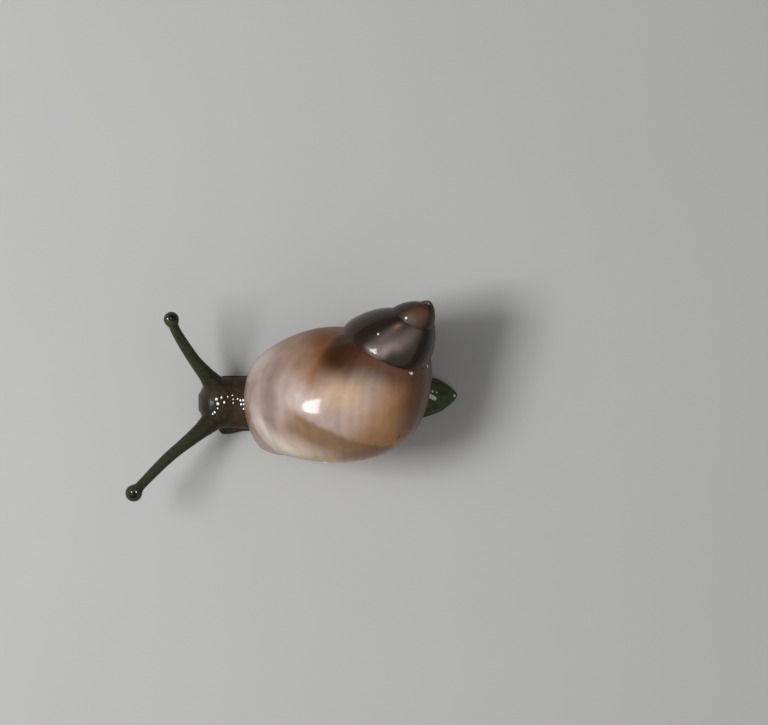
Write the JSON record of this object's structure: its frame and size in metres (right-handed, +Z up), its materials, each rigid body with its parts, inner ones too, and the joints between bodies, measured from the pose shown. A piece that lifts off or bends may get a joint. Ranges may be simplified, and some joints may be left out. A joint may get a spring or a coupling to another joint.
{
  "type": "partula tree snail",
  "caption": "Half-grown tree snail crawling flat with its feelers out: a glossy right-coiling spiral shell carried on a soft dark body.",
  "frame": {"origin": "centre of the bounding box on the plane of the sole", "axes": "+Z up from the sole, head towards -X and tail towards +X, the animal's left side towards -Y"},
  "size_m": [0.0166, 0.01, 0.008],
  "materials": {
    "shell": "thin glossy horn, cream and chestnut on the last whorl and dark chocolate on the spire",
    "mantle": "wet soft skin",
    "skin": "wet brown-olive skin with fine wrinkles",
    "tail_skin": "wet thin skin, grey-green and slightly clear",
    "eye": "glossy black"
  },
  "bodies": {
    "root": {"shell": "shell", "mantle_collar": "mantle", "neck": "skin", "head": "skin", "foot": "skin", "tail": "tail_skin", "upper_tentacle_left_base": "skin", "upper_tentacle_left_shaft": "skin", "upper_tentacle_right_base": "skin", "upper_tentacle_right_shaft": "skin", "lower_tentacle_left": "skin", "lower_tentacle_right": "skin", "eye_left": "eye", "eye_right": "eye"}
  },
  "joints": []
}
